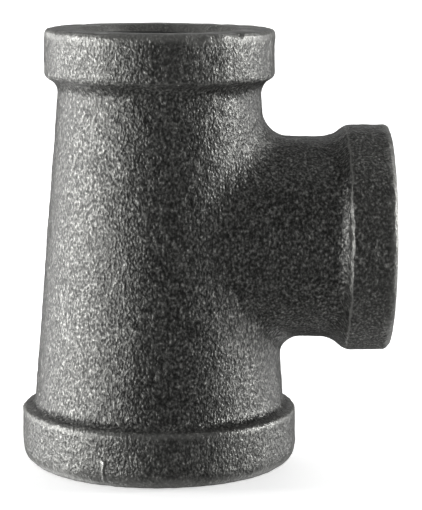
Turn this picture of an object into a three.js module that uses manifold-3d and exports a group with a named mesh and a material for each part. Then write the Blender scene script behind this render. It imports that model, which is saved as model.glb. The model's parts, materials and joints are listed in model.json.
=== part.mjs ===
// A threaded reducing tee of cast malleable iron: 3/4 x 1/2 x 1/2 inch, NPT.
//
// Millimetres, +Z up. The run stands on its large end and points along +Z, and
// the branch points along +X. The origin is the middle of the bounding box, at
// the height of the large end's face.
//
// The fitting is one casting. It is drawn as a foundry and a tapping machine
// make it: an outer blank of revolved shapes with a rolling-ball fillet where
// the branch leaves the body, a cored cavity, three faced and chamfered
// mouths, and a tapered right-hand pipe thread in each.

import * as THREE from 'three';
import { mergeVertices } from 'three/addons/utils/BufferGeometryUtils.js';
import Module from 'manifold-3d';

const wasm = await Module();
wasm.setup();

// ---------------------------------------------------------------------------
// Driving dimensions
// ---------------------------------------------------------------------------

// American taper pipe thread, 14 threads per inch for both sizes.
const pitch = 25.4 / 14;
const taper = 1 / 32; // radius lost per millimetre of depth
const flankAngle = THREE.MathUtils.degToRad(30); // each flank to the thread's normal
const crestFlat = 0.2; // flat left between two grooves
const pitchRadius = { threeQuarter: 24.579 / 2, half: 19.772 / 2 }; // at the end face

// Each end is described outwards from the crossing of the run and the branch.
const largeEnd = {
  reach: 30.5, // crossing to end face
  bandRadius: 18.5, // the thick ring round the mouth
  bandWidth: 7.5,
  edgeRound: 2.2, // ring's outer edge, at the face
  cornerRound: 0.55, // ring's inner edge, at the shoulder
  shoulderFillet: 1.1, // shoulder to body
  shoulderRun: 0.25, // how far the shoulder leans along the axis
  threadPitchRadius: pitchRadius.threeQuarter,
  threadLength: 13.2,
  chamberRadius: 13.75, // cored wall just behind the thread
};
const smallEnd = {
  reach: 27.9,
  bandRadius: 15.3,
  bandWidth: 6.45,
  edgeRound: 0.7,
  cornerRound: 0.45,
  shoulderFillet: 1.3,
  shoulderRun: 0.55,
  threadPitchRadius: pitchRadius.half,
  threadLength: 11.6,
  chamberRadius: 10.85,
};
const branchEnd = {
  reach: 30.7,
  bandRadius: 15.2,
  bandWidth: 5.85,
  edgeRound: 0.85,
  cornerRound: 0.4,
  shoulderFillet: 1.05,
  shoulderRun: 0.65,
  threadPitchRadius: pitchRadius.half,
  threadLength: 11.6,
  chamberRadius: 10.85,
};

const bodyRadiusAtLargeBand = 16.85;
const bodyRadiusAtSmallBand = 13.35;
const neckRadiusAtBody = 13.4;
const neckRadiusAtBand = 13.54;

// The fillet between the branch neck and the body is fullest on top.
const junctionFillet = { top: 3.8, bottom: 2.2 };

const mouthChamferOverMajor = 0.35; // chamfer's radius at the face beyond the thread's
const coreRound = 1.2; // the sand core's own corners
const coreRamp = 1.4; // lean of the core's step behind a thread

const aroundSegments = 48;
const threadSegments = 28; // per turn
const chordError = 0.05; // of a rounded corner's facets
const filletArcSegments = 5;
const sameVertex = 1e-4; // points closer than this are one vertex

// ---------------------------------------------------------------------------
// Places that follow from them
// ---------------------------------------------------------------------------

const runX = -(branchEnd.reach - largeEnd.bandRadius) / 2;
const height = largeEnd.reach + smallEnd.reach;
const branchZ = largeEnd.reach;

const grooveWidth = pitch - crestFlat;
const grooveDepth = grooveWidth / 2 / Math.tan(flankAngle);
const past = 1; // how far a cutter runs past the face that it opens

const minorRadius = (end, depth = 0) =>
  end.threadPitchRadius - grooveDepth / 2 - taper * depth;
const majorRadius = (end, depth = 0) => minorRadius(end, depth) + grooveDepth;
const mouthRadius = (end) => majorRadius(end) + mouthChamferOverMajor;

// Puts something drawn with its mouth at z = 0, facing +Z, on each end.
const placeOn = {
  large: new THREE.Matrix4().makeTranslation(runX, 0, 0)
    .multiply(new THREE.Matrix4().makeRotationX(Math.PI)),
  small: new THREE.Matrix4().makeTranslation(runX, 0, height),
  branch: new THREE.Matrix4().makeTranslation(runX + branchEnd.reach, 0, branchZ)
    .multiply(new THREE.Matrix4().makeRotationY(Math.PI / 2)),
};

// ---------------------------------------------------------------------------
// Solids
// ---------------------------------------------------------------------------

// A closed three.js geometry as a Manifold: only positions, shared vertices
// merged, and the flat triangles that a lathe leaves on its axis dropped.
function solid(geometry) {
  const bare = new THREE.BufferGeometry();
  bare.setAttribute('position', geometry.getAttribute('position'));
  bare.setIndex(geometry.getIndex());
  const merged = mergeVertices(bare, sameVertex);
  const corners = merged.getIndex().array;
  const triVerts = [];
  for (let i = 0; i < corners.length; i += 3) {
    const [a, b, c] = [corners[i], corners[i + 1], corners[i + 2]];
    if (a !== b && b !== c && c !== a) triVerts.push(a, b, c);
  }
  return new wasm.Manifold(new wasm.Mesh({
    numProp: 3,
    vertProperties: merged.getAttribute('position').array,
    triVerts: Uint32Array.from(triVerts),
  }));
}

function geometryOf(manifold) {
  const mesh = manifold.getMesh();
  const geometry = new THREE.BufferGeometry();
  geometry.setAttribute('position', new THREE.BufferAttribute(mesh.vertProperties, 3));
  geometry.setIndex(new THREE.BufferAttribute(mesh.triVerts, 1));
  geometry.computeVertexNormals();
  return geometry;
}

// A corner list [radius, height, rounding] as a smooth outline: each corner
// with a rounding becomes an arc that is tangent to both its sides.
function outline(corners) {
  const points = [];
  corners.forEach(([r, z, rounding = 0], i) => {
    const here = new THREE.Vector2(r, z);
    if (!rounding) {
      points.push(here);
      return;
    }
    const before = new THREE.Vector2(...corners[i - 1]).sub(here).normalize();
    const after = new THREE.Vector2(...corners[i + 1]).sub(here).normalize();
    const half = Math.acos(THREE.MathUtils.clamp(before.dot(after), -1, 1)) / 2;
    const middle = before.clone().add(after).normalize();
    const centre = here.clone().addScaledVector(middle, rounding / Math.sin(half));
    const start = here.clone().addScaledVector(before, rounding / Math.tan(half)).sub(centre);
    const end = here.clone().addScaledVector(after, rounding / Math.tan(half)).sub(centre);
    const sweep = Math.atan2(start.cross(end), start.dot(end));
    const steps = Math.ceil(Math.abs(sweep) / (2 * Math.acos(1 - chordError / rounding)));
    for (let k = 0; k <= steps; k++) {
      const turn = (sweep * k) / steps;
      points.push(start.clone().rotateAround(new THREE.Vector2(), turn).add(centre));
    }
  });
  return points;
}

// A solid of revolution about Z from a corner list that starts and ends on the axis.
const revolved = (corners) =>
  new THREE.LatheGeometry(outline(corners), aroundSegments).rotateX(Math.PI / 2);

// The corners of an end from its face inwards to where its shoulder meets the
// body, as [radius, depth below the face, rounding].
const bandCorners = (end, bodyRadius) => [
  [end.bandRadius, 0, end.edgeRound],
  [end.bandRadius, end.bandWidth, end.cornerRound],
  [bodyRadius, end.bandWidth + end.shoulderRun, end.shoulderFillet],
];

// Body cone with a band at each end.
function runBlank() {
  const large = bandCorners(largeEnd, bodyRadiusAtLargeBand);
  const small = bandCorners(smallEnd, bodyRadiusAtSmallBand)
    .map(([r, depth, rounding]) => [r, height - depth, rounding])
    .reverse();
  return solid(revolved([[0, 0], ...large, ...small, [0, height]])
    .translate(runX, 0, 0));
}

// Neck and band, drawn with the mouth facing +Z and reaching back to the run's axis.
function branchBlank() {
  const band = bandCorners(branchEnd, neckRadiusAtBand)
    .map(([r, depth, rounding]) => [r, -depth, rounding])
    .reverse();
  const back = -branchEnd.reach;
  return solid(revolved([[0, back], [neckRadiusAtBody, back], ...band, [0, 0]])
    .applyMatrix4(placeOn.branch));
}

// The iron that a ball leaves as it rolls round the branch, touching the neck
// and the body's cone. Each section is the ball's arc between its two contacts,
// closed by a point sunk in the metal behind them.
function junctionFilletSolid() {
  const coneBottom = largeEnd.bandWidth;
  const coneTop = height - smallEnd.bandWidth;
  const slope = (bodyRadiusAtSmallBand - bodyRadiusAtLargeBand) / (coneTop - coneBottom);
  const lean = Math.atan(-slope);
  const coneRadius = (z) => bodyRadiusAtLargeBand + slope * (z - coneBottom);
  const sunk = 1.5; // closing point below the two surfaces
  const overlap = 0.04; // arc ends below the surface, for a clean join

  const section = (angle) => {
    const lift = Math.sin(angle);
    const ball = THREE.MathUtils.mapLinear(
      lift, -1, 1, junctionFillet.bottom, junctionFillet.top);
    const outwards = new THREE.Vector3(0, Math.cos(angle), lift);
    const centre = outwards.clone().multiplyScalar(neckRadiusAtBody + ball);
    centre.z += branchZ;
    const clear = coneRadius(centre.z) + ball / Math.cos(lean);
    centre.x = Math.sqrt(clear ** 2 - centre.y ** 2);

    const toNeck = outwards.clone().negate();
    const round = Math.atan2(centre.y, centre.x);
    const toBody = new THREE.Vector3(
      Math.cos(round) * Math.cos(lean), Math.sin(round) * Math.cos(lean), Math.sin(lean))
      .negate();
    const opening = toNeck.angleTo(toBody);
    const points = [];
    for (let k = 0; k <= filletArcSegments; k++) {
      const share = k / filletArcSegments;
      const direction = toNeck.clone().multiplyScalar(Math.sin((1 - share) * opening))
        .addScaledVector(toBody, Math.sin(share * opening))
        .normalize();
      points.push(centre.clone().addScaledVector(direction, ball + overlap));
    }
    points.push(centre.clone().addScaledVector(toNeck.add(toBody), ball + sunk));
    return points;
  };

  const rings = [];
  for (let i = 0; i < aroundSegments; i++) {
    rings.push(section((-2 * Math.PI * i) / aroundSegments));
  }
  return solid(ringSkin(rings).translate(runX, 0, 0));
}

// Triangles between closed sections of equal length, the last joined to the first.
function ringSkin(rings) {
  const size = rings[0].length;
  const positions = rings.flat().flatMap((p) => p.toArray());
  const index = [];
  for (let i = 0; i < rings.length; i++) {
    const here = i * size;
    const next = ((i + 1) % rings.length) * size;
    for (let j = 0; j < size; j++) {
      const k = (j + 1) % size;
      index.push(here + j, next + j, next + k, here + j, next + k, here + k);
    }
  }
  const geometry = new THREE.BufferGeometry();
  geometry.setAttribute('position', new THREE.Float32BufferAttribute(positions, 3));
  geometry.setIndex(index);
  return geometry;
}

// The chamfer of a mouth, and the hole's air beyond the face.
function mouthCutter(end) {
  const mouth = mouthRadius(end);
  const depth = mouth - minorRadius(end);
  return solid(revolved([
    [0, -depth],
    [minorRadius(end, depth), -depth],
    [mouth + past, past],
    [0, past],
  ]));
}

// The tapered hole with its groove, a right-hand helix. Each station round the
// helix has the groove's two edges and its root, a flat crest joins it to the
// station one turn further on, and a fan from the axis closes each end.
function threadCutter(end) {
  const first = -Math.ceil(((end.threadLength + past) / pitch) * threadSegments);
  const last = threadSegments;
  const stations = last - first + 1;
  const points = [];
  for (let i = first; i <= last; i++) {
    const angle = (2 * Math.PI * i) / threadSegments;
    const z = (pitch * i) / threadSegments;
    const at = (radius, height) =>
      points.push(radius * Math.cos(angle), radius * Math.sin(angle), height);
    at(minorRadius(end, -z), z - grooveWidth / 2);
    at(majorRadius(end, -z), z);
    at(minorRadius(end, -z), z + grooveWidth / 2);
  }
  const [low, root, high] = [0, 1, 2];
  const vertex = (station, row) => 3 * station + row;
  const index = [];
  const quad = (a, b, c, d) => index.push(a, b, c, a, c, d);
  for (let i = 0; i < stations - 1; i++) {
    quad(vertex(i, low), vertex(i + 1, low), vertex(i + 1, root), vertex(i, root));
    quad(vertex(i, root), vertex(i + 1, root), vertex(i + 1, high), vertex(i, high));
    const above = i + threadSegments;
    if (above < stations - 1) {
      quad(vertex(i, high), vertex(i + 1, high), vertex(above + 1, low), vertex(above, low));
    }
  }

  const bottomRim = [vertex(0, root), vertex(0, high)];
  for (let i = threadSegments; i >= 0; i--) bottomRim.push(vertex(i, low));
  const topRim = [vertex(stations - 1, root), vertex(stations - 1, low)];
  for (let i = threadSegments; i >= 0; i--) topRim.push(vertex(stations - 1 - i, high));
  for (const rim of [bottomRim, topRim]) {
    const centre = points.length / 3;
    points.push(0, 0, points[3 * rim[rim.length - 1] + 2]);
    rim.forEach((corner, i) => index.push(centre, corner, rim[(i + 1) % rim.length]));
  }

  const geometry = new THREE.BufferGeometry();
  geometry.setAttribute('position', new THREE.Float32BufferAttribute(points, 3));
  geometry.setIndex(index);
  return solid(geometry);
}

// The sand core's space along the run, between the two threads.
function runCore() {
  const low = largeEnd.threadLength;
  const high = height - smallEnd.threadLength;
  return solid(revolved([
    [0, low - coreRamp],
    [minorRadius(largeEnd, low), low - coreRamp],
    [largeEnd.chamberRadius, low, coreRound],
    [smallEnd.chamberRadius, high, coreRound],
    [minorRadius(smallEnd, smallEnd.threadLength), high + coreRamp],
    [0, high + coreRamp],
  ]).translate(runX, 0, 0));
}

// The core's arm into the branch, back to the run's axis.
function branchCore() {
  const top = -branchEnd.threadLength;
  const back = -branchEnd.reach;
  return solid(revolved([
    [0, back],
    [branchEnd.chamberRadius, back],
    [branchEnd.chamberRadius, top, coreRound],
    [minorRadius(branchEnd, branchEnd.threadLength), top + coreRamp],
    [0, top + coreRamp],
  ]).applyMatrix4(placeOn.branch));
}

// ---------------------------------------------------------------------------
// The casting
// ---------------------------------------------------------------------------

function teeCasting() {
  const blank = runBlank().add(branchBlank()).add(junctionFilletSolid());
  const ends = [
    [largeEnd, placeOn.large],
    [smallEnd, placeOn.small],
    [branchEnd, placeOn.branch],
  ];
  let casting = blank.subtract(runCore().add(branchCore()));
  for (const [end, place] of ends) {
    const hole = mouthCutter(end).add(threadCutter(end));
    casting = casting.subtract(hole.transform(place.elements));
  }
  return geometryOf(casting);
}

const blackIron = new THREE.MeshStandardMaterial({
  color: 0x50504e,
  roughness: 0.5,
  metalness: 0.65,
});

const teeCastingMesh = new THREE.Mesh(teeCasting(), blackIron);
teeCastingMesh.name = 'tee_casting';

const tee = new THREE.Group();
tee.add(teeCastingMesh);

export default tee;
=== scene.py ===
"""A threaded reducing tee of black malleable iron, made in the order a foundry works.

The outside and the cored passages are distance fields, meshed and roughened like a
sand casting. The three mouths are then faced, tapped and chamfered with real cutters.
Shapes are worked out in millimetres, and the finished casting is scaled to metres.
"""

import json
import math
from dataclasses import dataclass

import bpy
import numpy as np
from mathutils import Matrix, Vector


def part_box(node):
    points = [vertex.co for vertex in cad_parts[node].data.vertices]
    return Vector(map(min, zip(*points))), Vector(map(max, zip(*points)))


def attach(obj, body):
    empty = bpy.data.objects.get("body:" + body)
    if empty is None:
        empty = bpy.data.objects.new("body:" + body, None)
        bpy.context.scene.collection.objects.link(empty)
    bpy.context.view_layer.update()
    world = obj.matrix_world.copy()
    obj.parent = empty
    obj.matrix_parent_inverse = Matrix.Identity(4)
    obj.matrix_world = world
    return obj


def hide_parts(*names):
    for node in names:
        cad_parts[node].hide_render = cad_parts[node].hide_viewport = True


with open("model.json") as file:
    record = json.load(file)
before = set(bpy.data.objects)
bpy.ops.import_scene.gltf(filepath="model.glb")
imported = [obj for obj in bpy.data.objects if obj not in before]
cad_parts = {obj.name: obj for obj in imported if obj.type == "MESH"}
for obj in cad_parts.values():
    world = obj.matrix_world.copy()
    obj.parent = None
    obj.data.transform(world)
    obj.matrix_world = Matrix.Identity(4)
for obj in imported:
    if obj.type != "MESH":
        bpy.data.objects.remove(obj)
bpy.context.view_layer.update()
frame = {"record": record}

import openvdb
from mathutils import Matrix, Vector, noise

MM = 0.001
NODE = "tee_casting"

# ----------------------------------------------------------------------------
# Sizes
# ----------------------------------------------------------------------------

node_low, node_high = (np.array(corner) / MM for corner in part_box(NODE))
mounts = {m["name"]: np.array(m["pos_m"]) / MM for m in frame["record"]["mounts"]}

RUN_X = mounts["small_end_face"][0]
BRANCH_Z = mounts["branch_end_face"][2]
HEIGHT = node_high[2]
BRANCH_REACH = node_high[0] - RUN_X
LARGE_RADIUS = node_high[1]

PITCH = 25.4 / 14
TAPER = 1 / 32  # radius lost per millimetre of depth
CREST = 0.2  # flat between two grooves
ROOT = 0.08  # flat at a groove's bottom
FLANK = math.radians(30)


@dataclass
class End:
    """One mouth of the fitting, measured inwards from its face."""

    band: float  # radius of the thick ring
    width: float
    edge: float  # rounding of the ring at the face
    corner: float  # rounding of the ring at the shoulder, at the parting line
    fillet: float  # shoulder to body
    lean: float  # how far the shoulder leans along the axis, at the parting line
    front: float  # share of that corner and lean left a quarter turn from the parting line
    body: float  # radius behind the ring
    stock: float  # cast past the face, for the facing tool
    pitch_radius: float  # of the thread, at the face
    thread: float  # its length
    chamber: float  # cored radius behind it


LARGE = End(LARGE_RADIUS, 7.5, 2.35, 0.65, 1.05, 0.25, 1.0, 16.85, 0.15, 12.29, 13.2, 13.75)
SMALL = End(15.3, 6.45, 0.8, 0.5, 1.5, 0.7, 0.85, 13.35, 0.08, 9.886, 11.6, 10.85)
BRANCH = End(15.22, 5.95, 0.9, 0.7, 1.3, 1.4, 0.33, 13.54, 0.1, 9.886, 11.6, 10.85)

NECK_AT_BODY = 13.4
JUNCTION_TOP = 3.35  # fillet between the branch and the body
JUNCTION_BOTTOM = 3.0
JUNCTION_SIDE = 0.8
JUNCTION_POWER = 2.5  # how quickly that fillet shrinks from the top and bottom to the sides
RING_DROP = 0.14  # the branch's ring was cast this far below the axis that it is tapped on
MOUTH_OVER_MAJOR = 0.35  # mouth chamfer beyond the thread's root, at the face

CORE_ROUND = 1.2  # rounding of the core's edges and corners
CORE_OVERLAP = 0.7  # how far the core runs into each thread

# Sand-cast roughness, as (size across, height).
SKIN_WAVES = ((14.0, 0.07), (4.5, 0.05), (1.7, 0.05), (0.9, 0.05))
CORE_WAVES = ((9.0, 0.12), (3.0, 0.08))
SEAM_HEIGHT = 0.1  # the mould's parting line, in the plane of the run and the branch
SEAM_HALF_WIDTH = 0.45

FIN_X, FIN_Z = RUN_X - 7.3, 2.4  # middle of the fin of flash on the large ring
FIN_HALF_WIDTH, FIN_HALF_HEIGHT = 0.34, 1.35
RIM_WAVE = (2.6, 0.3, 1.2)  # the small end's rim: size across, height, reach below the face
CHIPS = (((RUN_X + 10.4, -11.0, HEIGHT), 0.42, 0.4),)  # centre, radius, depth

SKIN_CELL = 0.36  # spacing of the mesh's points outside
CORE_CELL = 0.75  # and in the cored passages
SHARP_ANGLE = math.radians(38)  # edges that turn more than this aren't smoothed over

SLOTS = 4
CAST, FACED, TAPPED, CORED = range(SLOTS)  # material slots of the casting


# ----------------------------------------------------------------------------
# Distance fields
# ----------------------------------------------------------------------------


def fillet_union(a, b, radius):
    """The two distances joined, with a fillet where they meet."""
    corner = np.hypot(np.maximum(radius - a, 0), np.maximum(radius - b, 0))
    return np.maximum(radius, np.minimum(a, b)) - corner


def round_cut(a, b, radius):
    """What the two distances share, with its edge rounded."""
    corner = np.hypot(np.maximum(radius + a, 0), np.maximum(radius + b, 0))
    return np.minimum(-radius, np.maximum(a, b)) + corner


def banded(bare, radial, depth, y, end):
    """A pipe's distance with the end's thick ring added.

    The ring is placed by the radius from the pipe's axis and the depth from the end's face.
    """
    from_parting_line = y / np.maximum(radial, 1.0)
    softness = 1 - (1 - end.front) * from_parting_line ** 2
    step = end.band - end.body
    lean = end.lean * softness
    shoulder = lean * (radial - end.band) + step * (depth - end.width)
    ring = round_cut(radial - end.band, shoulder / np.hypot(lean, step), end.corner * softness)
    ring = round_cut(ring, -depth - end.stock, end.edge)
    return fillet_union(bare, ring, end.fillet)


def blank(points):
    """The casting's outside, with no hole in it."""
    x, y, z = points[..., 0] - RUN_X, points[..., 1], points[..., 2]
    inset = 2.0  # the body ends this far inside its rings

    around_run = np.hypot(x, y)
    slope = (SMALL.body - LARGE.body) / (HEIGHT - LARGE.width - SMALL.width)
    cone = around_run - LARGE.body - slope * (z - LARGE.width)
    middle = HEIGHT / 2
    body = np.maximum(cone / math.hypot(1, slope), np.abs(z - middle) - middle + inset)
    run = banded(body, around_run, z, y, LARGE)
    run = banded(run, around_run, HEIGHT - z, y, SMALL)

    around_branch = np.hypot(y, z - BRANCH_Z)
    share = np.clip(x / (BRANCH_REACH - BRANCH.width), 0, 1)
    neck = around_branch - NECK_AT_BODY - (BRANCH.body - NECK_AT_BODY) * share
    neck = np.maximum(neck, np.maximum(-x, x - BRANCH_REACH + inset))
    around_ring = np.hypot(y, z - BRANCH_Z + RING_DROP)
    arm = banded(neck, around_ring, BRANCH_REACH - x, y, BRANCH)

    lift = (z - BRANCH_Z) / np.maximum(around_branch, 1.0)
    fillet = JUNCTION_SIDE + (JUNCTION_TOP - JUNCTION_SIDE) * np.maximum(lift, 0) ** JUNCTION_POWER
    fillet = fillet + (JUNCTION_BOTTOM - JUNCTION_SIDE) * np.maximum(-lift, 0) ** JUNCTION_POWER
    return fillet_union(run, arm, fillet)


def core(points):
    """The sand core: the passages between the three threads."""
    x, y, z = points[..., 0] - RUN_X, points[..., 1], points[..., 2]
    low, high = LARGE.thread, HEIGHT - SMALL.thread
    slope = (SMALL.chamber - LARGE.chamber) / (high - low)
    wall = (np.hypot(x, y) - LARGE.chamber - slope * (z - low)) / math.hypot(1, slope)
    ends = np.maximum(low - CORE_OVERLAP - z, z - high - CORE_OVERLAP)
    run = round_cut(wall, ends, CORE_ROUND)

    across = np.hypot(y, z - BRANCH_Z) - BRANCH.chamber
    reach = BRANCH_REACH - BRANCH.thread + CORE_OVERLAP
    arm = round_cut(across, np.maximum(x - reach, -x), CORE_ROUND)
    return fillet_union(run, arm, CORE_ROUND)


def normals_of(distance, points):
    """Unit gradient of a distance field."""
    reach = 0.05
    gradient = np.stack(
        [distance(points + step) - distance(points - step) for step in np.eye(3) * reach],
        axis=-1,
    )
    return gradient / np.linalg.norm(gradient, axis=-1, keepdims=True)


def relaxed(points, quads, distance):
    """The points evened out along the surface, and put back exactly on it."""
    passes, share, returns = 4, 0.5, 2
    start = quads.ravel()
    for _ in range(passes):
        total = np.zeros_like(points)
        count = np.bincount(start, minlength=len(points))[:, None]
        for k in range(3):
            neighbour = points[np.roll(quads, -1, axis=1).ravel(), k]
            total[:, k] = np.bincount(start, neighbour, minlength=len(points))
        points = points + share * (total / count - points)
        for _ in range(returns):
            points = points - distance(points)[:, None] * normals_of(distance, points)
    return points


def surface(distance, low, high, cell):
    """Points and quads on a distance field's zero surface, spaced about a cell apart."""
    axes = [np.arange(a - 2 * cell, b + 3 * cell, cell) for a, b in zip(low, high)]
    values = distance(np.stack(np.meshgrid(*axes, indexing="ij"), axis=-1))
    field = openvdb.FloatGrid()
    field.background = 10 * cell
    field.copyFromArray(values.astype(np.float32))
    points, quads = field.convertToQuads(isovalue=0)
    points = points.astype(float) * cell + [axis[0] for axis in axes]
    quads = quads.astype(int)
    return relaxed(points, quads, distance), quads


# ----------------------------------------------------------------------------
# Meshes
# ----------------------------------------------------------------------------


def roughness(point, waves):
    return sum(height * noise.noise(point / size) for size, height in waves)


def rim_flaws(points):
    """The unevenness of the small end's rim, and the chip knocked out of it."""
    below = HEIGHT - points[:, 2]
    waves = np.array([noise.noise(Vector(p) / RIM_WAVE[0]) for p in points])
    lift = RIM_WAVE[1] * waves * np.exp(-((below / RIM_WAVE[2]) ** 2))
    for centre, radius, depth in CHIPS:
        away = np.linalg.norm(points - centre, axis=1)
        lift -= depth * np.exp(-((away / radius) ** 2))
    return lift


def sand_cast(distance, low, high, cell, waves, seam):
    """A distance field's surface with the grain of the sand that it was cast in."""
    points, quads = surface(distance, low, high, cell)
    lift = np.array([roughness(Vector(p), waves) for p in points])
    if seam:
        lift += seam * np.exp(-((points[:, 1] / SEAM_HALF_WIDTH) ** 2)) + rim_flaws(points)
    return points + lift[:, None] * normals_of(distance, points), quads


def revolved(profile, steps=144):
    """A closed surface round Z from (radius, height) points that end on the axis."""
    rings = []
    for radius, height in profile[1:-1]:
        turn = np.arange(steps) * 2 * np.pi / steps
        rings.append(np.stack(
            [radius * np.cos(turn), radius * np.sin(turn), np.full(steps, height)], axis=1))
    points = np.concatenate([*rings, [[0, 0, profile[0][1]], [0, 0, profile[-1][1]]]])
    bottom, top = len(points) - 2, len(points) - 1
    faces = []
    for j in range(steps):
        k = (j + 1) % steps
        faces.append((bottom, k, j))
        for i in range(len(rings) - 1):
            a, b = i * steps, (i + 1) * steps
            faces.append((a + j, a + k, b + k, b + j))
        last = (len(rings) - 1) * steps
        faces.append((top, last + j, last + k))
    return points, faces


def minor_radius(end, depth):
    """Radius at the thread's crests."""
    return end.pitch_radius - groove_depth() / 2 - TAPER * depth


def groove_depth():
    return (PITCH - CREST - ROOT) / 2 / math.tan(FLANK)


def tapped_hole(end, steps=96):
    """The space that a right-hand taper tap clears: a tapered plug with one helical rib."""
    half_crest, half_root = (PITCH - CREST) / 2, ROOT / 2
    section = ((-half_crest, 0.0), (-half_root, 1.0), (half_root, 1.0), (half_crest, 0.0))
    first, last = -math.ceil((end.thread + 1) / PITCH * steps), steps
    points = []
    for i in range(first, last + 1):
        turn = 2 * math.pi * i / steps
        for rise, depth in section:
            z = PITCH * i / steps + rise
            radius = minor_radius(end, -z) + depth * groove_depth()
            points.append((radius * math.cos(turn), radius * math.sin(turn), z))
    size = len(section)
    count = last - first + 1
    faces = []
    for i in range(count - 1):
        here, there = i * size, (i + 1) * size
        for j in range(size - 1):
            faces.append((here + j, there + j, there + j + 1, here + j + 1))
        above = (i + steps) * size
        if i + steps < count - 1:
            faces.append((here + size - 1, there + size - 1, above + size, above))
    end_station = (count - 1) * size
    bottom = [1, 2, 3] + [i * size for i in range(steps, -1, -1)]
    top = [end_station + j for j in (2, 1, 0)]
    top += [end_station - i * size + size - 1 for i in range(steps, -1, -1)]
    for rim in (bottom, top):
        centre = len(points)
        points.append((0, 0, points[rim[-1]][2]))
        faces += [(centre, rim[i], rim[(i + 1) % len(rim)]) for i in range(len(rim))]
    return np.array(points), faces


def facing(end):
    """The facing tool's sweep: everything past the face."""
    beyond = 4.0
    wide = end.band + beyond
    return revolved([(0, 0), (wide, 0), (wide, beyond), (0, beyond)])


def countersink(end):
    mouth = minor_radius(end, 0) + groove_depth() + MOUTH_OVER_MAJOR
    depth = mouth - minor_radius(end, 0)
    return revolved([(0, -depth), (mouth - depth, -depth), (mouth + 1, 1), (0, 1)])


def mesh_object(name, points, faces, slot=CAST):
    mesh = bpy.data.meshes.new(name)
    mesh.from_pydata([tuple(p) for p in points], [], [tuple(f) for f in faces])
    for _ in range(SLOTS):
        mesh.materials.append(None)
    mesh.polygons.foreach_set("material_index", [slot] * len(mesh.polygons))
    piece = bpy.data.objects.new(name, mesh)
    bpy.context.scene.collection.objects.link(piece)
    return piece


def cut(casting, points, faces, slot, place=None):
    """Takes a closed shape away from the casting. The new surface gets the slot."""
    cutter = mesh_object("cutter", points, faces, slot)
    if place:
        cutter.data.transform(place)
    modifier = casting.modifiers.new("cut", "BOOLEAN")
    modifier.operation = "DIFFERENCE"
    modifier.solver = "MANIFOLD"
    modifier.object = cutter
    evaluated = casting.evaluated_get(bpy.context.evaluated_depsgraph_get())
    made = bpy.data.meshes.new_from_object(evaluated)
    casting.modifiers.clear()
    old, casting.data = casting.data, made
    bpy.data.meshes.remove(old)
    spent = cutter.data
    bpy.data.objects.remove(cutter)
    bpy.data.meshes.remove(spent)


def make_casting():
    margin = 1.0  # room for the waves and the machining stock
    low, high = node_low - margin, node_high + margin
    points, quads = sand_cast(blank, low, high, SKIN_CELL, SKIN_WAVES, SEAM_HEIGHT)
    casting = mesh_object("cast_iron_tee", points, quads)
    points, quads = sand_cast(core, node_low, node_high, CORE_CELL, CORE_WAVES, 0.0)
    cut(casting, points, quads, CORED)

    places = (
        (LARGE, Matrix.Translation((RUN_X, 0, 0)) @ Matrix.Rotation(math.pi, 4, "X")),
        (SMALL, Matrix.Translation((RUN_X, 0, HEIGHT))),
        (BRANCH, Matrix.Translation((RUN_X + BRANCH_REACH, 0, BRANCH_Z))
         @ Matrix.Rotation(math.pi / 2, 4, "Y")),
    )
    for end, place in places:
        cut(casting, *facing(end), FACED, place)
        cut(casting, *tapped_hole(end), TAPPED, place)
        cut(casting, *countersink(end), FACED, place)

    mesh = casting.data
    mesh.transform(Matrix.Scale(MM, 4))
    mesh.polygons.foreach_set("use_smooth", [True] * len(mesh.polygons))
    mesh.set_sharp_from_angle(angle=SHARP_ANGLE)
    mesh.update()
    return casting


# ----------------------------------------------------------------------------
# Materials
# ----------------------------------------------------------------------------


WARMTH = 0.95  # the iron's blue as a share of its red and green
PALE = 0.85  # the floor's grey


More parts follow.
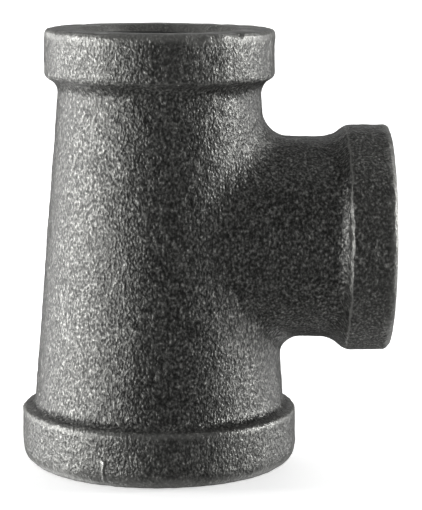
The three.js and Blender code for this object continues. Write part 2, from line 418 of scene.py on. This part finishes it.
class Graph:
    """A material's node tree, built one node at a time."""

    def __init__(self, name):
        self.material = bpy.data.materials.new(name)
        self.material.use_nodes = True
        self.tree = self.material.node_tree
        self.shader = self.tree.nodes["Principled BSDF"]
        self.object_place = self.add("ShaderNodeTexCoord").outputs["Object"]
        self.place = self.object_place

    def feed(self, socket, value):
        """Links another node's output to the socket, or sets the socket to a constant."""
        if isinstance(value, bpy.types.NodeSocket):
            self.tree.links.new(value, socket)
        else:
            socket.default_value = value

    def add(self, kind, inputs=None, **settings):
        node = self.tree.nodes.new(kind)
        for name, value in settings.items():
            setattr(node, name, value)
        for name, value in (inputs or {}).items():
            self.feed(node.inputs[name], value)
        return node

    def object_axes(self):
        return self.add("ShaderNodeSeparateXYZ", {"Vector": self.object_place}).outputs

    def stretch(self, factor):
        """Makes every grain that follows longer along Z."""
        self.place = self.add("ShaderNodeMapping", {
            "Vector": self.place,
            "Scale": (1, 1, 1 / factor),
        }).outputs["Vector"]

    def grain(self, size_mm, detail=2.0):
        """A noise whose features are about size_mm across."""
        return self.add("ShaderNodeTexNoise", {
            "Vector": self.place,
            "Scale": 1 / (size_mm * MM),
            "Detail": detail,
        }).outputs["Fac"]

    def remap(self, value, low, high, to_low, to_high):
        return self.add("ShaderNodeMapRange", {
            "Value": value,
            "From Min": low,
            "From Max": high,
            "To Min": to_low,
            "To Max": to_high,
        }).outputs["Result"]

    def waver(self, size_mm, reach_mm, detail=2.0):
        """A wander of up to reach_mm either way, so that worn edges don't run straight."""
        reach = reach_mm * MM
        return self.remap(self.grain(size_mm, detail), 0.3, 0.7, -reach, reach)

    def maths(self, operation, *values):
        node = self.add("ShaderNodeMath", operation=operation)
        for socket, value in zip(node.inputs, values):
            self.feed(socket, value)
        return node.outputs[0]

    def mix_colour(self, factor, a, b):
        node = self.add("ShaderNodeMix", data_type="RGBA")
        for name, value in (("Factor", factor), ("A", a), ("B", b)):
            self.feed(next(s for s in node.inputs if s.name == name and s.enabled), value)
        return next(s for s in node.outputs if s.enabled)

    def tinted(self, value):
        """A grey value as the iron's very slightly warm colour."""
        return self.add("ShaderNodeCombineColor", {
            "Red": value,
            "Green": value,
            "Blue": self.maths("MULTIPLY", value, WARMTH),
        }).outputs["Color"]

    def bump(self, height, distance_mm):
        return self.add("ShaderNodeBump", {
            "Height": height,
            "Distance": distance_mm * MM,
        }).outputs["Normal"]

    def finish(self, **inputs):
        for name, value in inputs.items():
            self.feed(self.shader.inputs[name.replace("_", " ")], value)
        return self.material


def grey(value):
    return (value, value, value, 1.0)


def rubbed_rims(g):
    """How far a spot of skin is rubbed smooth: the rims beside the three faces."""
    x, _, z = g.object_axes()
    waver = g.waver(2.6, 0.5)
    rims = (  # along which axis, where the rubbing starts, where it is full
        (z, HEIGHT - 1.4, HEIGHT - 0.7),
        (x, node_high[0] - 1.1, node_high[0] - 0.3),
        (z, 2.2, 1.0),
    )
    total = 0.0
    for place, starts, full in rims:
        strayed = g.maths("ADD", place, waver)
        total = g.maths("MAXIMUM", total, g.remap(strayed, starts * MM, full * MM, 0.0, 1.0))
    return total


def worn_bands(g):
    """1 on the three thick rings, which are knocked and rubbed most, and 0 elsewhere."""
    x, _, z = g.object_axes()
    ramp = 0.3
    bands = (
        (z, HEIGHT - SMALL.width, ramp),
        (x, node_high[0] - BRANCH.width, ramp),
        (z, LARGE.width, -ramp),
    )
    total = 0.0
    for place, starts, rise in bands:
        low, high = (starts - rise) * MM, (starts + rise) * MM
        total = g.maths("MAXIMUM", total, g.remap(place, low, high, 0.0, 1.0))
    return total


def corner_wear_and_highlight(g):
    """How far a spot is lightened at the outer corners of the three shoulders: partly wear, partly
    a painted highlight along the lines where these rounded corners catch the light.
    """
    x, _, z = g.object_axes()
    waver = g.waver(1.6, 0.15)
    corners = (  # along which axis, where, how far the wear and painted highlight reach, how strong they are
        (z, HEIGHT - SMALL.width + SMALL.corner / 2, 0.18, 0.4),
        (x, node_high[0] - BRANCH.width + BRANCH.corner * BRANCH.front / 2, 0.18, 1.0),
        (z, LARGE.width - LARGE.corner / 2, 0.6, 0.5),
    )
    total = 0.0
    for place, middle, reach, share in corners:
        strayed = g.maths("ADD", place, waver)
        away = g.maths("ABSOLUTE", g.maths("SUBTRACT", strayed, middle * MM))
        total = g.maths("MAXIMUM", total, g.remap(away, 0.2 * reach * MM, reach * MM, share, 0.0))
    return total


def flash_fin(g):
    """1 along the little upright fin on the front of the large ring, and 0 elsewhere."""
    x, y, z = g.object_axes()
    strayed = g.maths("ADD", x, g.waver(1.2, 0.1, 1.0))
    across = g.maths("ABSOLUTE", g.maths("SUBTRACT", strayed, FIN_X * MM))
    along = g.maths("ABSOLUTE", g.maths("SUBTRACT", z, FIN_Z * MM))
    crest = g.remap(across, 0.0, FIN_HALF_WIDTH * MM, 1.0, 0.0)
    fade = 0.5
    length = g.remap(along, (FIN_HALF_HEIGHT - fade) * MM, FIN_HALF_HEIGHT * MM, 1.0, 0.0)
    in_front = g.maths("LESS_THAN", y, 0.0)
    return g.maths("MULTIPLY", g.maths("MULTIPLY", crest, length), in_front)


def speckle(g):
    """The grain of cast iron: where it stands proud, and the grey that it has there."""
    fine = g.grain(0.32, 1.0)
    coarse = g.grain(0.75)
    share = 0.72  # of the fine grain in the height
    fine_part = g.maths("MULTIPLY", fine, share)
    height = g.maths("ADD", fine_part, g.maths("MULTIPLY", coarse, 1 - share))
    climb = g.remap(height, 0.31, 0.76, -0.3, 1.6)
    base, ratio = 0.035, 5.5  # the grey where climb is 0, and how many times that it is at 1
    return height, coarse, g.maths("MULTIPLY", g.maths("POWER", ratio, climb), base)


def cast_skin():
    """Black sand-cast iron: oiled grains that glint, dark pits between them."""
    g = Graph("cast_skin")
    g.stretch(1.3)
    height, coarse, tone = speckle(g)
    patches = g.grain(7.0)
    rubbed = rubbed_rims(g)
    # lightened shoulder corners: partly wear, partly a painted highlight
    corners = corner_wear_and_highlight(g)
    # the fin's crest is painted lighter below: partly wear, partly a painted highlight
    fin = flash_fin(g)
    bands = worn_bands(g)
    tone = g.maths("MULTIPLY", tone, g.remap(bands, 0.0, 1.0, 1.0, 1.08))
    colour = g.mix_colour(g.remap(patches, 0.4, 0.7, 0.0, 0.2), tone, grey(0.08))
    # Lighter greys mixed in: wear on the rings and rims; on the shoulder corners and the flash
    # fin's crest, partly wear and partly a painted highlight.
    wear_and_painted_highlights = ((bands, 0.07, 0.25), (rubbed, 0.5, 0.26), (corners, 0.6, 0.3), (fin, 0.6, 0.5))
    for place, share, shade in wear_and_painted_highlights:
        colour = g.mix_colour(g.maths("MULTIPLY", place, share), colour, grey(shade))
    relief = g.maths("MULTIPLY", height, g.remap(rubbed, 0.0, 1.0, 1.0, 0.7))
    relief = g.maths("MULTIPLY", relief, g.remap(corners, 0.0, 1.0, 1.0, 0.5))
    relief = g.maths("ADD", relief, g.maths("MULTIPLY", fin, 1.3))
    return g.finish(
        Base_Color=g.tinted(colour),
        Metallic=0.7,
        Roughness=g.remap(coarse, 0.3, 0.7, 0.32, 0.42),
        Normal=g.bump(relief, 0.2),
    )


def cored_skin():
    """The passages' walls: the same iron, rougher and duller."""
    g = Graph("cored_skin")
    height = g.grain(0.9, 3.0)
    return g.finish(
        Base_Color=g.mix_colour(g.remap(height, 0.35, 0.65, 0.0, 1.0), grey(0.012), grey(0.05)),
        Metallic=0.4,
        Roughness=0.62,
        Normal=g.bump(height, 0.4),
    )


def faced_metal():
    """The three faces and chamfers: dressed lightly, and almost as grainy as the skin."""
    g = Graph("faced_metal")
    height, coarse, tone = speckle(g)
    clouds = g.grain(2.2)
    return g.finish(
        Base_Color=g.tinted(g.mix_colour(g.remap(clouds, 0.3, 0.7, 0.3, 0.7), tone, grey(0.2))),
        Metallic=0.7,
        Roughness=g.remap(coarse, 0.3, 0.7, 0.42, 0.54),
        Normal=g.bump(height, 0.13),
    )


def tapped_metal():
    """Threads: cut bright, then dulled by cutting oil."""
    g = Graph("tapped_metal")
    stain = g.grain(2.0, 3.0)
    return g.finish(
        Base_Color=g.mix_colour(stain, grey(0.26), grey(0.5)),
        Metallic=0.6,
        Roughness=g.remap(stain, 0.3, 0.7, 0.38, 0.52),
        Normal=g.bump(g.grain(0.3), 0.03),
    )


def matte(name):
    """A pale studio surface that glows a little, with faint clouds."""
    g = Graph(name)
    return g.finish(
        Base_Color=g.mix_colour(g.grain(60.0), grey(PALE), grey(PALE * 0.985)),
        Roughness=0.9,
        Emission_Color=grey(1.0),
        Emission_Strength=0.55,
    )


# ----------------------------------------------------------------------------
# Studio
# ----------------------------------------------------------------------------


CAMERA_OFFSET = (0.0, -286.2, 43.45)  # from the crossing of the fitting's two axes
CAMERA_TURN = (9.14, 1.393, 0.231)  # down, to the right, and rolled, in degrees
LENS, SENSOR = 151.34, 36
CLIP = (0.01, 20)


def make_camera():
    """Above and in front of the fitting, placed from the crossing of its two axes."""
    place = Vector((RUN_X, 0, BRANCH_Z)) + Vector(CAMERA_OFFSET)
    pitch, yaw, roll = (math.radians(angle) for angle in CAMERA_TURN)
    right = Vector((math.cos(yaw), -math.sin(yaw), 0))
    ahead = Vector((
        math.cos(pitch) * math.sin(yaw), math.cos(pitch) * math.cos(yaw), -math.sin(pitch)))
    up = right.cross(ahead)
    tilted_right = right * math.cos(roll) + up * math.sin(roll)
    tilted_up = up * math.cos(roll) - right * math.sin(roll)
    turn = Matrix((tilted_right, tilted_up, -ahead)).transposed()

    data = bpy.data.cameras.new("camera")
    data.lens = LENS
    data.sensor_width = SENSOR
    data.clip_start, data.clip_end = CLIP
    camera = bpy.data.objects.new("camera", data)
    camera.matrix_world = Matrix.Translation(place * MM) @ turn.to_4x4()
    bpy.context.scene.collection.objects.link(camera)
    bpy.context.scene.camera = camera


def swept(bend, start, top):
    """A quarter bend from (start, 0) up to a vertical line, as (distance, height) points."""
    steps = 24
    line = [(start, 0.0)]
    for i in range(1, steps + 1):
        turn = math.pi / 2 * i / steps
        line.append((start + bend * math.sin(turn), bend * (1 - math.cos(turn))))
    return line + [(start + bend, top)]


def stage_sheet(name, points, faces):
    """A pale sheet that lights shine through and that the metal doesn't mirror."""
    mesh = bpy.data.meshes.new(name)
    mesh.from_pydata(points, [], faces)
    mesh.polygons.foreach_set("use_smooth", [True] * len(mesh.polygons))
    mesh.materials.append(matte(name))
    sheet = bpy.data.objects.new(name, mesh)
    bpy.context.scene.collection.objects.link(sheet)
    sheet.visible_glossy = False
    sheet.visible_shadow = False
    return sheet


def make_stage():
    """A pale floor that sweeps up behind the fitting, inside a pale round wall."""
    half_width, front, back, bend, top = 1.6, -1.2, 0.4, 0.5, 1.8  # metres
    profile = [(front, 0.0), (0.0, 0.0), *swept(bend, back, top)]
    points = [(x, y, z) for y, z in profile for x in (-half_width, half_width)]
    faces = [(2 * i, 2 * i + 1, 2 * i + 3, 2 * i + 2) for i in range(len(profile) - 1)]
    stage_sheet("pale_floor", points, faces)

    wall_start, steps = 0.7, 96
    profile = swept(bend, wall_start, top)
    points = []
    for radius, height in profile:
        for j in range(steps):
            turn = 2 * math.pi * j / steps
            points.append((radius * math.cos(turn), radius * math.sin(turn), height))
    faces = []
    for i in range(len(profile) - 1):
        low, high = i * steps, (i + 1) * steps
        for j in range(steps):
            k = (j + 1) % steps
            faces.append((low + j, high + j, high + k, low + k))
    wall = stage_sheet("pale_wall", points, faces)
    wall.visible_diffuse = False  # it throws no light on the fitting


@dataclass
class Softbox:
    """A rectangle of soft light, aimed at the middle of the fitting."""

    name: str
    azimuth: float  # 0 is in front, 90 to the right
    elevation: float  # below 0 it shines up through the table
    width: float
    height: float
    power: float


WORLD_STRENGTH = 0.023
SOFTBOX_DISTANCE = 0.9
SOFTBOXES = (
    Softbox("key", -90, 8, 0.26, 0.5, 6.5),
    Softbox("key_low", -90, -20, 0.26, 0.4, 2.9),
    Softbox("key_front", -54, -2, 0.36, 0.6, 3.7),
    Softbox("key_back", -127, -2, 0.36, 0.6, 3.0),
    Softbox("key_high", -112, 46, 0.5, 0.45, 1.1),
    Softbox("low_left", -138, -46, 0.5, 0.45, 1.5),
    Softbox("right", 92, 11, 0.24, 0.5, 5.7),
    Softbox("right_low", 92, -22, 0.24, 0.4, 0.9),
    Softbox("low_right", 138, -46, 0.5, 0.45, 0.7),
    Softbox("right_front", 66, -5, 0.34, 0.6, 0.9),
    Softbox("right_back", 128, -3, 0.4, 0.6, 1.6),
    Softbox("right_high", 112, 46, 0.5, 0.45, 1.5),
    Softbox("high_front", 20, 40, 0.45, 0.4, 0.15),
    Softbox("top", 0, 90, 0.6, 0.6, 0.55),
    Softbox("back", 180, 20, 0.8, 0.6, 0.65),
    Softbox("below", 0, -90, 0.6, 0.6, 0.25),
)


def hang(softbox):
    """Puts the softbox's lamp in its place and points it at the fitting."""
    around, lift = math.radians(softbox.azimuth), math.radians(softbox.elevation)
    away = Vector((
        math.sin(around) * math.cos(lift), -math.cos(around) * math.cos(lift), math.sin(lift)))
    data = bpy.data.lights.new(softbox.name, "AREA")
    data.shape = "RECTANGLE"
    data.size, data.size_y = softbox.width, softbox.height
    data.energy = softbox.power
    light = bpy.data.objects.new(softbox.name, data)
    light.location = Vector((0, 0, HEIGHT * MM / 2)) + away * SOFTBOX_DISTANCE
    light.rotation_mode = "QUATERNION"
    light.rotation_quaternion = away.to_track_quat("Z", "Y")
    bpy.context.scene.collection.objects.link(light)


def light_scene():
    scene = bpy.context.scene
    scene.view_settings.view_transform = "Standard"
    scene.view_settings.look = "None"
    world = bpy.data.worlds.new("studio")
    world.use_nodes = True
    background = world.node_tree.nodes["Background"].inputs
    background["Color"].default_value = grey(1.0)
    background["Strength"].default_value = WORLD_STRENGTH
    scene.world = world
    for softbox in SOFTBOXES:
        hang(softbox)


# ----------------------------------------------------------------------------

make_camera()
casting = make_casting()
for index, material in enumerate((cast_skin(), faced_metal(), tapped_metal(), cored_skin())):
    casting.data.materials[index] = material
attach(casting, "root")
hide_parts(NODE)
make_stage()
light_scene()
